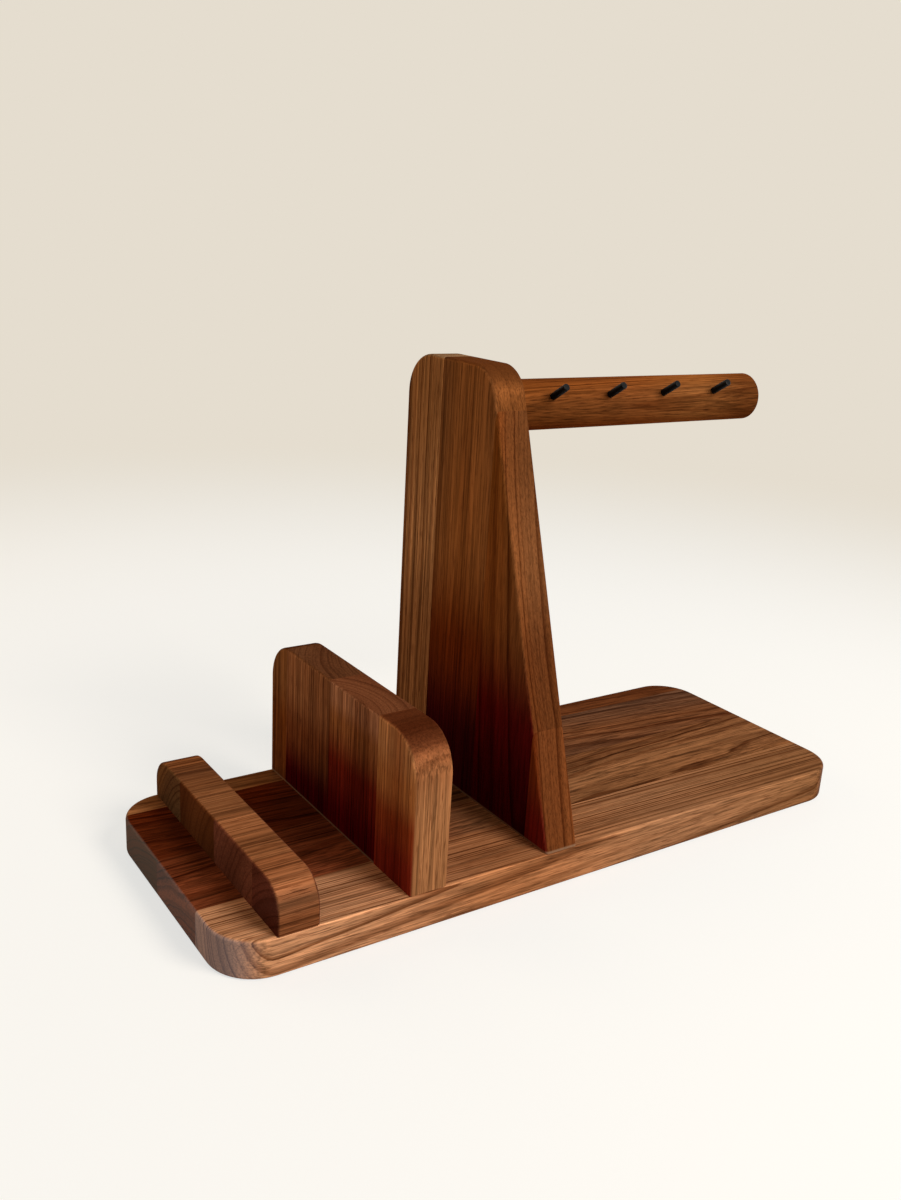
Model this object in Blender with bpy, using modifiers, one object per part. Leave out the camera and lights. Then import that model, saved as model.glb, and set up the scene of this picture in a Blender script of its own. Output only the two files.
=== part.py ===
# Free-standing entryway organizer in oiled walnut. A base board carries a low rail, a divider and a
# tall tapering upright, and the upright holds out a hook bar with tilted pegs.
# Metres. +Z up, +X along the base towards the hook bar's free end, the front at -Y.
# The origin is on the underside, at the middle of the base.
import math

import bmesh
import bpy
from mathutils import Matrix, Vector

# Base board
BASE_LENGTH = 0.400
BASE_DEPTH = 0.152
BASE_THICKNESS = 0.020
BASE_CORNER_RADIUS = 0.024
BASE_FIRST_STAVE = 0.0365
BASE_STAVE_WIDTH = 0.0495

# Low rail that stops a phone or a card on the left
RAIL_FROM_END = 0.0235
RAIL_THICKNESS = 0.021
RAIL_HEIGHT = 0.0235
RAIL_CORNER_RADIUS = 0.015
RAIL_FIRST_STAVE = 0.027
RAIL_STAVE_WIDTH = 0.0445

# Divider, and the slot between the rail and the divider
PHONE_SLOT = 0.0465
DIVIDER_THICKNESS = 0.021
DIVIDER_HEIGHT = 0.079
DIVIDER_CORNER_RADIUS = 0.021
DIVIDER_FIRST_STAVE = 0.034
DIVIDER_STAVE_WIDTH = 0.0495

# Upright, and the slot between the divider and the upright
LETTER_SLOT = 0.060
UPRIGHT_THICKNESS = 0.020
UPRIGHT_HEIGHT = 0.2345
UPRIGHT_TOP_DEPTH = 0.077
UPRIGHT_BACK_RADIUS = 0.022
UPRIGHT_FRONT_RADIUS = 0.018
UPRIGHT_FIRST_STAVE = 0.019
UPRIGHT_STAVE_WIDTH = 0.0492

# Round hook bar, centred between the upright's slanted front edge and its back edge
BAR_LENGTH = 0.200
BAR_DIAMETER = 0.028
BAR_BELOW_TOP = 0.0115
BAR_EASE = 0.001

# Pegs, at even steps along the bar
PEG_COUNT = 4
PEG_FIRST = 0.0385
PEG_SPACING = 0.0407
PEG_DIAMETER = 0.004
PEG_REACH = 0.0133
PEG_SEAT = 0.010
PEG_TILT = 31.0
PEG_ABOVE_CENTRE = 0.006
PEG_CHAMFER = 0.0004

# Countersunk wood screws that come up through the base
SCREW_HEAD_DIAMETER = 0.008
SCREW_HEAD_HEIGHT = 0.0026
SCREW_HEAD_RIM = 0.0004
SCREW_SHANK_DIAMETER = 0.004
SCREW_POINT = 0.005
SCREW_SUNK = 0.0005
SCREW_DRIVE_SPAN = 0.0036
SCREW_DRIVE_WIDTH = 0.0010
SCREW_DRIVE_DEPTH = 0.0018

# Screw rows. Each is set out from the front face, as the staves are, so a screw stays in its own stave.
RAIL_SCREW_COUNT = 2
RAIL_FIRST_SCREW = 0.045
RAIL_SCREW_SPACING = 0.060
RAIL_SCREW_BITE = 0.012
DIVIDER_SCREW_COUNT = 2
DIVIDER_FIRST_SCREW = 0.045
DIVIDER_SCREW_SPACING = 0.060
DIVIDER_SCREW_BITE = 0.030
UPRIGHT_SCREW_COUNT = 3
UPRIGHT_FIRST_SCREW = 0.027
UPRIGHT_SCREW_SPACING = 0.048
UPRIGHT_SCREW_BITE = 0.040

# Dowels between the upright and the hook bar
DOWEL_COUNT = 2
DOWEL_DIAMETER = 0.006
DOWEL_SPACING = 0.012
DOWEL_IN_UPRIGHT = 0.012
DOWEL_IN_BAR = 0.018
DOWEL_CHAMFER = 0.0008

# Edges, joints and mesh steps
EDGE_EASE = 0.0015
EASE_SEGMENTS = 2
JOINT_GAP = 0.0003
NARROWEST_STAVE = 0.006
CUTTER_MARGIN = 0.005
ARC_STEPS = 9
ROUND_STEPS = 16
BAR_STEPS = 32
WELD_DISTANCE = 0.00001
SMOOTH_ANGLE = math.radians(35)

# Colours of the pieces: name, base colour, roughness, metallic
FINISHES = {
    "walnut_striped": ((0.205, 0.098, 0.044), 0.46, 0.0),
    "walnut_plain": ((0.150, 0.068, 0.030), 0.46, 0.0),
    "walnut_red": ((0.120, 0.048, 0.021), 0.46, 0.0),
    "walnut_light": ((0.230, 0.120, 0.060), 0.46, 0.0),
    "beech": ((0.560, 0.380, 0.210), 0.60, 0.0),
    "black_steel": ((0.012, 0.012, 0.013), 0.42, 0.6),
    "zinc_steel": ((0.560, 0.560, 0.540), 0.34, 1.0),
}
STAVE_FINISHES = ["walnut_striped", "walnut_plain", "walnut_red", "walnut_light"]

# Places worked out from the sizes above
BASE_FRONT = -BASE_DEPTH / 2
BASE_BACK = BASE_DEPTH / 2
BASE_LEFT = -BASE_LENGTH / 2
RAIL_LEFT = BASE_LEFT + RAIL_FROM_END
RAIL_RIGHT = RAIL_LEFT + RAIL_THICKNESS
RAIL_TOP = BASE_THICKNESS + RAIL_HEIGHT
DIVIDER_LEFT = RAIL_RIGHT + PHONE_SLOT
DIVIDER_RIGHT = DIVIDER_LEFT + DIVIDER_THICKNESS
DIVIDER_TOP = BASE_THICKNESS + DIVIDER_HEIGHT
UPRIGHT_LEFT = DIVIDER_RIGHT + LETTER_SLOT
UPRIGHT_RIGHT = UPRIGHT_LEFT + UPRIGHT_THICKNESS
UPRIGHT_TOP = BASE_THICKNESS + UPRIGHT_HEIGHT
UPRIGHT_SLANT = (BASE_DEPTH - UPRIGHT_TOP_DEPTH) / UPRIGHT_HEIGHT
BAR_RADIUS = BAR_DIAMETER / 2
BAR_CENTRE_Z = UPRIGHT_TOP - BAR_BELOW_TOP - BAR_RADIUS
BAR_CENTRE_Y = (BASE_FRONT + UPRIGHT_SLANT * (BAR_CENTRE_Z - BASE_THICKNESS) + BASE_BACK) / 2
PEG_ROOT_Y = BAR_CENTRE_Y - math.sqrt(BAR_RADIUS**2 - PEG_ABOVE_CENTRE**2)
BOARD_FOOT = BASE_THICKNESS + JOINT_GAP


def clear_scene():
    for obj in list(bpy.data.objects):
        bpy.data.objects.remove(obj, do_unlink=True)


def new_collection(name, parent=None):
    collection = bpy.data.collections.new(name)
    owner = parent or bpy.context.scene.collection
    owner.children.link(collection)
    return collection


def make_materials():
    materials = {}
    for name, (colour, roughness, metallic) in FINISHES.items():
        material = bpy.data.materials.new(name)
        material.use_nodes = True
        shader = material.node_tree.nodes["Principled BSDF"]
        shader.inputs["Base Color"].default_value = (*colour, 1.0)
        shader.inputs["Roughness"].default_value = roughness
        shader.inputs["Metallic"].default_value = metallic
        materials[name] = material
    return materials


def rounded_outline(corners):
    # Corners (u, v, radius), anticlockwise, turned into points with each round corner as an arc.
    points = []
    for index, (u, v, radius) in enumerate(corners):
        here = Vector((u, v))
        if radius == 0:
            points.append(here)
            continue
        to_last = (Vector(corners[index - 1][:2]) - here).normalized()
        to_next = (Vector(corners[(index + 1) % len(corners)][:2]) - here).normalized()
        half_angle = to_last.angle(to_next) / 2
        turn = math.pi - 2 * half_angle
        centre = here + (to_last + to_next).normalized() * radius / math.sin(half_angle)
        start = here + to_last * radius / math.tan(half_angle) - centre
        steps = max(2, round(ARC_STEPS * turn / (math.pi / 2)))
        for step in range(steps + 1):
            points.append(centre + Matrix.Rotation(turn * step / steps, 2) @ start)
    return [
        point for index, point in enumerate(points)
        if (point - points[index - 1]).length > WELD_DISTANCE
    ]


def flat_mesh(name, corners, thickness):
    # A flat outline, extruded evenly to both sides of its plane and turned into a closed mesh.
    curve = bpy.data.curves.new(name, "CURVE")
    curve.dimensions = "2D"
    curve.fill_mode = "BOTH"
    curve.extrude = thickness / 2
    points = rounded_outline(corners)
    spline = curve.splines.new("POLY")
    spline.points.add(len(points) - 1)
    for spline_point, point in zip(spline.points, points):
        spline_point.co = (point.x, point.y, 0, 1)
    spline.use_cyclic_u = True
    holder = bpy.data.objects.new(name, curve)
    bpy.context.scene.collection.objects.link(holder)
    depsgraph = bpy.context.evaluated_depsgraph_get()
    mesh = bpy.data.meshes.new_from_object(holder.evaluated_get(depsgraph))
    mesh.name = name
    bpy.data.objects.remove(holder, do_unlink=True)
    bpy.data.curves.remove(curve)
    shape = bmesh.new()
    shape.from_mesh(mesh)
    bmesh.ops.remove_doubles(shape, verts=shape.verts, dist=WELD_DISTANCE)
    bmesh.ops.dissolve_limit(shape, angle_limit=math.radians(1), verts=shape.verts, edges=shape.edges)
    bmesh.ops.recalc_face_normals(shape, faces=shape.faces)
    shape.to_mesh(mesh)
    shape.free()
    mesh.materials.clear()
    return mesh


def profile_mesh(name, profile):
    # Half outline (radius, height) of a turned piece, listed down its outer side from the top.
    mesh = bpy.data.meshes.new(name)
    vertices = [(radius, 0, height) for radius, height in profile]
    edges = [(index, index + 1) for index in range(len(profile) - 1)]
    mesh.from_pydata(vertices, edges, [])
    return mesh


def turn_profile(obj, steps=ROUND_STEPS):
    screw = obj.modifiers.new("Turn", "SCREW")
    screw.axis = "Z"
    screw.steps = steps
    screw.render_steps = steps
    screw.use_merge_vertices = True
    screw.merge_threshold = WELD_DISTANCE
    screw.use_smooth_shade = True


def place(name, mesh, collection, matrix):
    obj = bpy.data.objects.new(name, mesh)
    obj.matrix_world = matrix
    collection.objects.link(obj)
    return obj


def make_cutter(name, mesh, collection, matrix):
    cutter = place(name, mesh, collection, matrix)
    cutter.hide_render = True
    cutter.display_type = "WIRE"
    return cutter


def box_cutter(name, low, high, collection):
    low = Vector(low)
    high = Vector(high)
    mesh = bpy.data.meshes.new(name)
    shape = bmesh.new()
    size = Matrix.Diagonal((*(high - low), 1))
    bmesh.ops.create_cube(shape, size=1, matrix=Matrix.Translation((low + high) / 2) @ size)
    shape.to_mesh(mesh)
    shape.free()
    return make_cutter(name, mesh, collection, Matrix.Identity(4))


def cut(obj, label, operation, cutter=None, cutters=None):
    boolean = obj.modifiers.new(label, "BOOLEAN")
    boolean.operation = operation
    boolean.solver = "EXACT"
    if cutters:
        boolean.operand_type = "COLLECTION"
        boolean.collection = cutters
    else:
        boolean.object = cutter


def ease_edges(obj):
    bevel = obj.modifiers.new("Ease edges", "BEVEL")
    bevel.width = EDGE_EASE
    bevel.segments = EASE_SEGMENTS
    bevel.limit_method = "ANGLE"
    bevel.angle_limit = math.radians(40)


def glue_lines(first, width):
    # Places of the glue lines across a board, from its front face to its back face.
    lines = []
    line = BASE_FRONT + first
    while line < BASE_BACK - NARROWEST_STAVE:
        lines.append(line)
        line += width
    return lines


def make_staves(name, mesh, matrix, lines, low, high, groups, materials, parent):
    # Cuts a board along its glue lines. Each stave is the whole board's shape inside one slab.
    edges = [BASE_FRONT - CUTTER_MARGIN, *lines, BASE_BACK + CUTTER_MARGIN]
    for index in range(len(edges) - 1):
        front = edges[index] + JOINT_GAP / 2
        back = edges[index + 1] - JOINT_GAP / 2
        slab_low = (low[0], front, low[1])
        slab_high = (high[0], back, high[1])
        slab = box_cutter(f"{name}_slab_{index + 1}", slab_low, slab_high, groups["slabs"])
        stave = place(f"{name}_stave_{index + 1}", mesh, groups["parts"], matrix)
        stave.parent = parent
        ease_edges(stave)
        cut(stave, "Glue faces", "INTERSECT", cutter=slab)
        cut(stave, "Screw holes", "DIFFERENCE", cutters=groups["screw_holes"])
        if name == "upright":
            cut(stave, "Dowel holes", "DIFFERENCE", cutters=groups["dowel_holes"])
        set_material(stave, materials[STAVE_FINISHES[index % len(STAVE_FINISHES)]])


def set_material(obj, material):
    # Staves of one board share a mesh, so the material sits on the object.
    if not obj.data.materials:
        obj.data.materials.append(material)
    obj.material_slots[0].link = "OBJECT"
    obj.material_slots[0].material = material


def standing_outline(top, back_radius, front_radius, slant):
    # Side view (y, z) of a standing board. It runs on below its foot, so only its upper edges are eased.
    foot = BASE_THICKNESS - 2 * EDGE_EASE
    front_foot = BASE_FRONT - slant * 2 * EDGE_EASE
    front_top = BASE_FRONT + slant * (top - BASE_THICKNESS)
    return [
        (front_foot, foot, 0),
        (BASE_BACK, foot, 0),
        (BASE_BACK, top, back_radius),
        (front_top, top, front_radius),
    ]


def standing_matrix(left, right):
    # The outline's axes become +Y and +Z, and its thickness lies along X.
    turn = Matrix(((0, 0, 1, 0), (1, 0, 0, 0), (0, 1, 0, 0), (0, 0, 0, 1)))
    return Matrix.Translation(((left + right) / 2, 0, 0)) @ turn


def make_base(groups, materials, parent):
    half_length = BASE_LENGTH / 2
    corners = [
        (-half_length, BASE_FRONT, BASE_CORNER_RADIUS),
        (half_length, BASE_FRONT, BASE_CORNER_RADIUS),
        (half_length, BASE_BACK, BASE_CORNER_RADIUS),
        (-half_length, BASE_BACK, BASE_CORNER_RADIUS),
    ]
    mesh = flat_mesh("base", corners, BASE_THICKNESS)
    matrix = Matrix.Translation((0, 0, BASE_THICKNESS / 2))
    low = (-half_length - CUTTER_MARGIN, -CUTTER_MARGIN)
    high = (half_length + CUTTER_MARGIN, BASE_THICKNESS + CUTTER_MARGIN)
    lines = glue_lines(BASE_FIRST_STAVE, BASE_STAVE_WIDTH)
    make_staves("base", mesh, matrix, lines, low, high, groups, materials, parent)


def make_standing_board(name, left, right, outline, top, lines, groups, materials, parent):
    mesh = flat_mesh(name, outline, right - left)
    low = (left - CUTTER_MARGIN, BOARD_FOOT)
    high = (right + CUTTER_MARGIN, top + CUTTER_MARGIN)
    make_staves(name, mesh, standing_matrix(left, right), lines, low, high, groups, materials, parent)


def make_rail(groups, materials, parent):
    outline = standing_outline(RAIL_TOP, RAIL_CORNER_RADIUS, RAIL_CORNER_RADIUS, 0)
    lines = glue_lines(RAIL_FIRST_STAVE, RAIL_STAVE_WIDTH)
    make_standing_board("rail", RAIL_LEFT, RAIL_RIGHT, outline, RAIL_TOP, lines, groups, materials, parent)


def make_divider(groups, materials, parent):
    outline = standing_outline(DIVIDER_TOP, DIVIDER_CORNER_RADIUS, DIVIDER_CORNER_RADIUS, 0)
    lines = glue_lines(DIVIDER_FIRST_STAVE, DIVIDER_STAVE_WIDTH)
    make_standing_board(
        "divider", DIVIDER_LEFT, DIVIDER_RIGHT, outline, DIVIDER_TOP, lines, groups, materials, parent
    )


def make_upright(groups, materials, parent):
    outline = standing_outline(UPRIGHT_TOP, UPRIGHT_BACK_RADIUS, UPRIGHT_FRONT_RADIUS, UPRIGHT_SLANT)
    lines = glue_lines(UPRIGHT_FIRST_STAVE, UPRIGHT_STAVE_WIDTH)
    make_standing_board(
        "upright", UPRIGHT_LEFT, UPRIGHT_RIGHT, outline, UPRIGHT_TOP, lines, groups, materials, parent
    )


def make_bar(groups, materials, parent):
    # A turned stick that lies along X, cut square at the upright and eased round its free end.
    length = BAR_LENGTH - JOINT_GAP
    profile = [
        (0, length),
        (BAR_RADIUS - BAR_EASE, length),
        (BAR_RADIUS - BAR_EASE * 0.3, length - BAR_EASE * 0.3),
        (BAR_RADIUS, length - BAR_EASE),
        (BAR_RADIUS, 0),
        (0, 0),
    ]
    near_end = Matrix.Translation((UPRIGHT_RIGHT + JOINT_GAP, BAR_CENTRE_Y, BAR_CENTRE_Z))
    lie_along_x = Matrix.Rotation(math.pi / 2, 4, "Y")
    bar = place("hook_bar", profile_mesh("hook_bar", profile), groups["parts"], near_end @ lie_along_x)
    bar.parent = parent
    turn_profile(bar, BAR_STEPS)
    cut(bar, "Peg holes", "DIFFERENCE", cutters=groups["peg_holes"])
    cut(bar, "Dowel holes", "DIFFERENCE", cutters=groups["dowel_holes"])
    set_material(bar, materials["walnut_plain"])


def peg_matrices():
    # The pegs' own +Z points out of the bar's front and up by the tilt. They start at its surface.
    tilt = Matrix.Rotation(math.radians(90 - PEG_TILT), 4, "X")
    matrices = []
    for step in range(PEG_COUNT):
        x = UPRIGHT_RIGHT + PEG_FIRST + step * PEG_SPACING
        root = (x, PEG_ROOT_Y, BAR_CENTRE_Z + PEG_ABOVE_CENTRE)
        matrices.append(Matrix.Translation(root) @ tilt)
    return matrices


def make_pegs(groups, materials, parent):
    radius = PEG_DIAMETER / 2
    peg_profile = [
        (0, PEG_REACH),
        (radius - PEG_CHAMFER, PEG_REACH),
        (radius, PEG_REACH - PEG_CHAMFER),
        (radius, -PEG_SEAT),
        (0, -PEG_SEAT),
    ]
    hole_radius = radius + JOINT_GAP
    mouth = 2 * PEG_DIAMETER
    hole_profile = [
        (0, mouth),
        (hole_radius, mouth),
        (hole_radius, -PEG_SEAT - JOINT_GAP),
        (0, -PEG_SEAT - JOINT_GAP),
    ]
    peg_mesh = profile_mesh("hook_peg", peg_profile)
    hole_mesh = profile_mesh("peg_hole", hole_profile)
    for number, matrix in enumerate(peg_matrices(), start=1):
        turn_profile(make_cutter(f"peg_hole_{number}", hole_mesh, groups["peg_holes"], matrix))
        peg = place(f"hook_peg_{number}", peg_mesh, groups["parts"], matrix)
        peg.parent = parent
        turn_profile(peg)
        set_material(peg, materials["black_steel"])


def make_dowels(groups, materials, parent):
    radius = DOWEL_DIAMETER / 2
    dowel_profile = [
        (0, DOWEL_IN_BAR),
        (radius - DOWEL_CHAMFER, DOWEL_IN_BAR),
        (radius, DOWEL_IN_BAR - DOWEL_CHAMFER),
        (radius, -DOWEL_IN_UPRIGHT + DOWEL_CHAMFER),
        (radius - DOWEL_CHAMFER, -DOWEL_IN_UPRIGHT),
        (0, -DOWEL_IN_UPRIGHT),
    ]
    hole_radius = radius + JOINT_GAP
    hole_profile = [
        (0, DOWEL_IN_BAR + JOINT_GAP),
        (hole_radius, DOWEL_IN_BAR + JOINT_GAP),
        (hole_radius, -DOWEL_IN_UPRIGHT - JOINT_GAP),
        (0, -DOWEL_IN_UPRIGHT - JOINT_GAP),
    ]
    dowel_mesh = profile_mesh("hook_bar_dowel", dowel_profile)
    hole_mesh = profile_mesh("dowel_hole", hole_profile)
    lie_along_x = Matrix.Rotation(math.pi / 2, 4, "Y")
    for number in range(1, DOWEL_COUNT + 1):
        above_centre = ((DOWEL_COUNT + 1) / 2 - number) * DOWEL_SPACING
        matrix = Matrix.Translation((UPRIGHT_RIGHT, BAR_CENTRE_Y, BAR_CENTRE_Z + above_centre)) @ lie_along_x
        turn_profile(make_cutter(f"dowel_hole_{number}", hole_mesh, groups["dowel_holes"], matrix))
        dowel = place(f"hook_bar_dowel_{number}", dowel_mesh, groups["parts"], matrix)
        dowel.parent = parent
        turn_profile(dowel)
        set_material(dowel, materials["beech"])


def screw_profile(length, grow):
    # From the point at the top down to the head's face at height zero.
    head = SCREW_HEAD_DIAMETER / 2 + grow
    shank = SCREW_SHANK_DIAMETER / 2 + grow
    return [
        (0, length + 2 * grow),
        (shank, length - SCREW_POINT + grow),
        (shank, SCREW_HEAD_HEIGHT),
        (head, SCREW_HEAD_RIM),
    ]


def drive_outline():
    # A plus sign, anticlockwise from the lower left of its right arm.
    span = SCREW_DRIVE_SPAN / 2
    arm = SCREW_DRIVE_WIDTH / 2
    quarter = [Vector((arm, -arm)), Vector((span, -arm)), Vector((span, arm))]
    corners = []
    for turn in range(4):
        rotation = Matrix.Rotation(turn * math.pi / 2, 2)
        corners += [(*(rotation @ corner), 0) for corner in quarter]
    return corners


def screw_row(first, spacing, count):
    return [BASE_FRONT + first + index * spacing for index in range(count)]


def make_screw_set(name, x, bite, spots, groups, materials, parent):
    length = BASE_THICKNESS - SCREW_SUNK + bite
    head = SCREW_HEAD_DIAMETER / 2
    screw_mesh = profile_mesh(name, [*screw_profile(length, 0), (head, 0), (0, 0)])
    below = -SCREW_SUNK - CUTTER_MARGIN
    hole_head = head + JOINT_GAP
    hole_profile = [*screw_profile(length, JOINT_GAP), (hole_head, below), (0, below)]
    hole_mesh = profile_mesh(f"{name}_hole", hole_profile)
    drive_mesh = flat_mesh(f"{name}_drive", drive_outline(), 2 * SCREW_DRIVE_DEPTH)
    for number, y in enumerate(spots, start=1):
        matrix = Matrix.Translation((x, y, SCREW_SUNK))
        turn_profile(make_cutter(f"{name}_hole_{number}", hole_mesh, groups["screw_holes"], matrix))
        drive = make_cutter(f"{name}_drive_{number}", drive_mesh, groups["drives"], matrix)
        screw = place(f"{name}_{number}", screw_mesh, groups["parts"], matrix)
        screw.parent = parent
        turn_profile(screw)
        cut(screw, "Drive recess", "DIFFERENCE", cutter=drive)
        set_material(screw, materials["zinc_steel"])


def make_screws(groups, materials, parent):
    rail_x = (RAIL_LEFT + RAIL_RIGHT) / 2
    rail_spots = screw_row(RAIL_FIRST_SCREW, RAIL_SCREW_SPACING, RAIL_SCREW_COUNT)
    make_screw_set("rail_screw", rail_x, RAIL_SCREW_BITE, rail_spots, groups, materials, parent)
    divider_x = (DIVIDER_LEFT + DIVIDER_RIGHT) / 2
    divider_spots = screw_row(DIVIDER_FIRST_SCREW, DIVIDER_SCREW_SPACING, DIVIDER_SCREW_COUNT)
    make_screw_set("divider_screw", divider_x, DIVIDER_SCREW_BITE, divider_spots, groups, materials, parent)
    upright_x = (UPRIGHT_LEFT + UPRIGHT_RIGHT) / 2
    upright_spots = screw_row(UPRIGHT_FIRST_SCREW, UPRIGHT_SCREW_SPACING, UPRIGHT_SCREW_COUNT)
    make_screw_set("upright_screw", upright_x, UPRIGHT_SCREW_BITE, upright_spots, groups, materials, parent)


def shade_round_faces(objects):
    for mesh in {obj.data for obj in objects}:
        mesh.shade_smooth()
        mesh.set_sharp_from_angle(angle=SMOOTH_ANGLE)


def main():
    clear_scene()
    materials = make_materials()
    cutters = new_collection("cutters")
    groups = {"parts": new_collection("entryway_organizer")}
    for name in ("slabs", "screw_holes", "peg_holes", "dowel_holes", "drives"):
        groups[name] = new_collection(name, cutters)
    organizer = bpy.data.objects.new("organizer", None)
    groups["parts"].objects.link(organizer)
    make_screws(groups, materials, organizer)
    make_dowels(groups, materials, organizer)
    make_pegs(groups, materials, organizer)
    make_base(groups, materials, organizer)
    make_rail(groups, materials, organizer)
    make_divider(groups, materials, organizer)
    make_upright(groups, materials, organizer)
    make_bar(groups, materials, organizer)
    pieces = [obj for obj in groups["parts"].objects if obj.type == "MESH"]
    shade_round_faces(pieces)
    for piece in pieces:
        print(f"{piece.name}: placed")


main()
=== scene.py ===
import math

import bmesh
import bpy
from mathutils import Matrix, Vector


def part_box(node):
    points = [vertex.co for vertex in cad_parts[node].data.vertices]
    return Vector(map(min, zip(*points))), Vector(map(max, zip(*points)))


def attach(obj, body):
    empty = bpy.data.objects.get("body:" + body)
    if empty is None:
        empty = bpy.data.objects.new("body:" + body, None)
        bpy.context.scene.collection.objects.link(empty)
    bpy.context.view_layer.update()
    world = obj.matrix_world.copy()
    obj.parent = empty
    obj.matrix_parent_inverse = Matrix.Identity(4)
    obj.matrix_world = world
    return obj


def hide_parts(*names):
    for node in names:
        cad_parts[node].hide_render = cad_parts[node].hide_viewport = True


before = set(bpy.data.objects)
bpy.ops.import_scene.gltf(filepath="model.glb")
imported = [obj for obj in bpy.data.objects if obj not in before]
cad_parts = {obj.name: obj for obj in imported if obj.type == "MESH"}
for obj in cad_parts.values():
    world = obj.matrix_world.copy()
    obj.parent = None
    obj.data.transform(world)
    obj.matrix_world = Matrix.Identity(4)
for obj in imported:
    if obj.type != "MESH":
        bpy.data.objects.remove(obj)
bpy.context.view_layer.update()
print("organizer: frame loaded,", len(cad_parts), "nodes")


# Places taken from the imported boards

def nodesOf(board):
    return sorted(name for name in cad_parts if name.startswith(board + "_stave_"))


def boxOf(*names):
    boxes = [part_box(name) for name in names]
    low = Vector([min(box[0][axis] for box in boxes) for axis in range(3)])
    high = Vector([max(box[1][axis] for box in boxes) for axis in range(3)])
    return low, high


def glueLines(board):
    # halfway between each stave and the next one behind it
    names = nodesOf(board)
    return [(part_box(front)[1].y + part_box(back)[0].y) / 2 for front, back in zip(names, names[1:])]


baseLow, baseHigh = boxOf(*nodesOf("base"))
baseTop = baseHigh.z
perMetre = 1000  # millimetres, which the wood and metal patterns are measured in


# Colours, written the way a colour picker shows them (0 to 255)

def shade(red, green, blue):
    channels = []
    for value in (red, green, blue):
        value /= 255
        channels.append(value / 12.92 if value <= 0.04045 else ((value + 0.055) / 1.055) ** 2.4)
    return (*channels, 1.0)


# Shader helpers

def setInput(tree, socket, value):
    if isinstance(value, bpy.types.NodeSocket):
        tree.links.new(value, socket)
    elif value is not None:
        socket.default_value = value


def mathNode(tree, operation, first, second=None):
    node = tree.nodes.new("ShaderNodeMath")
    node.operation = operation
    for socket, value in zip(node.inputs, (first, second)):
        setInput(tree, socket, value)
    return node.outputs[0]


def vectorNode(tree, operation, first, second=None, scale=None):
    node = tree.nodes.new("ShaderNodeVectorMath")
    node.operation = operation
    for socket, value in zip(node.inputs, (first, second)):
        setInput(tree, socket, value)
    if scale is not None:
        setInput(tree, node.inputs["Scale"], scale)
    return node.outputs["Value" if operation == "LENGTH" else "Vector"]


def joinNode(tree, x, y, z):
    node = tree.nodes.new("ShaderNodeCombineXYZ")
    for socket, value in zip(node.inputs, (x, y, z)):
        setInput(tree, socket, value)
    return node.outputs[0]


def rangeNode(tree, value, fromLow, fromHigh, toLow=0.0, toHigh=1.0, smooth=True):
    node = tree.nodes.new("ShaderNodeMapRange")
    node.interpolation_type = "SMOOTHSTEP" if smooth else "LINEAR"
    for name, entry in (("Value", value), ("From Min", fromLow), ("From Max", fromHigh),
                        ("To Min", toLow), ("To Max", toHigh)):
        setInput(tree, node.inputs[name], entry)
    return node.outputs["Result"]


def noiseNode(tree, vector, stretch, detail=2.0, roughness=0.5):
    # stretch is features per millimetre along the grain and across it
    node = tree.nodes.new("ShaderNodeTexNoise")
    setInput(tree, node.inputs["Vector"], vectorNode(tree, "MULTIPLY", vector, stretch))
    node.inputs["Scale"].default_value = 1.0
    node.inputs["Detail"].default_value = detail
    node.inputs["Roughness"].default_value = roughness
    return node.outputs["Fac"]


def swingNode(tree, noise, amount):
    # a noise from 0 to 1, made to swing to both sides of 0
    return mathNode(tree, "MULTIPLY", mathNode(tree, "SUBTRACT", noise, 0.5), amount)


def mixNode(tree, factor, first, second, blend="MIX"):
    node = tree.nodes.new("ShaderNodeMix")
    node.data_type = "RGBA"
    node.blend_type = blend
    for index, value in ((0, factor), (6, first), (7, second)):  # 6 and 7 are the colour sockets
        setInput(tree, node.inputs[index], value)
    return node.outputs[2]


def tintNode(tree, mask, colour, tint):
    # multiplies the colour by the tint where the mask is 1
    return mixNode(tree, mask, colour, mixNode(tree, 1.0, colour, tint, "MULTIPLY"))


def rampNode(tree, value, stops):
    # stops (value, colour) in rising order, blended smoothly
    first, last = stops[0][0], stops[-1][0]
    if first == last:
        last = first + 1.0
    node = tree.nodes.new("ShaderNodeValToRGB")
    node.color_ramp.interpolation = "EASE"
    points = node.color_ramp.elements
    while len(points) < len(stops):
        points.new(0.5)
    while len(points) > len(stops):
        points.remove(points[-1])
    for point, (spot, colour) in zip(points, stops):
        point.position = (spot - first) / (last - first)
    for point, (spot, colour) in zip(points, stops):
        point.color = colour
    setInput(tree, node.inputs["Fac"], rangeNode(tree, value, first, last, smooth=False))
    return node.outputs["Color"]


def attributeNode(tree, name):
    node = tree.nodes.new("ShaderNodeAttribute")
    node.attribute_name = name
    return node.outputs["Fac"]


def splitNode(tree, vector):
    node = tree.nodes.new("ShaderNodeSeparateXYZ")
    setInput(tree, node.inputs[0], vector)
    return node.outputs


def ownPlace(tree):
    return tree.nodes.new("ShaderNodeTexCoord").outputs["Object"]


def ownMillimetres(tree):
    return vectorNode(tree, "MULTIPLY", ownPlace(tree), (perMetre,) * 3)


def addBump(tree, shader, height, strength, distance):
    bump = tree.nodes.new("ShaderNodeBump")
    bump.inputs["Strength"].default_value = strength
    bump.inputs["Distance"].default_value = distance
    setInput(tree, bump.inputs["Height"], height)
    setInput(tree, shader.inputs["Normal"], bump.outputs["Normal"])


def newMaterial(name):
    material = bpy.data.materials.new(name)
    material.use_nodes = True
    return material, material.node_tree, material.node_tree.nodes["Principled BSDF"]


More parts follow.
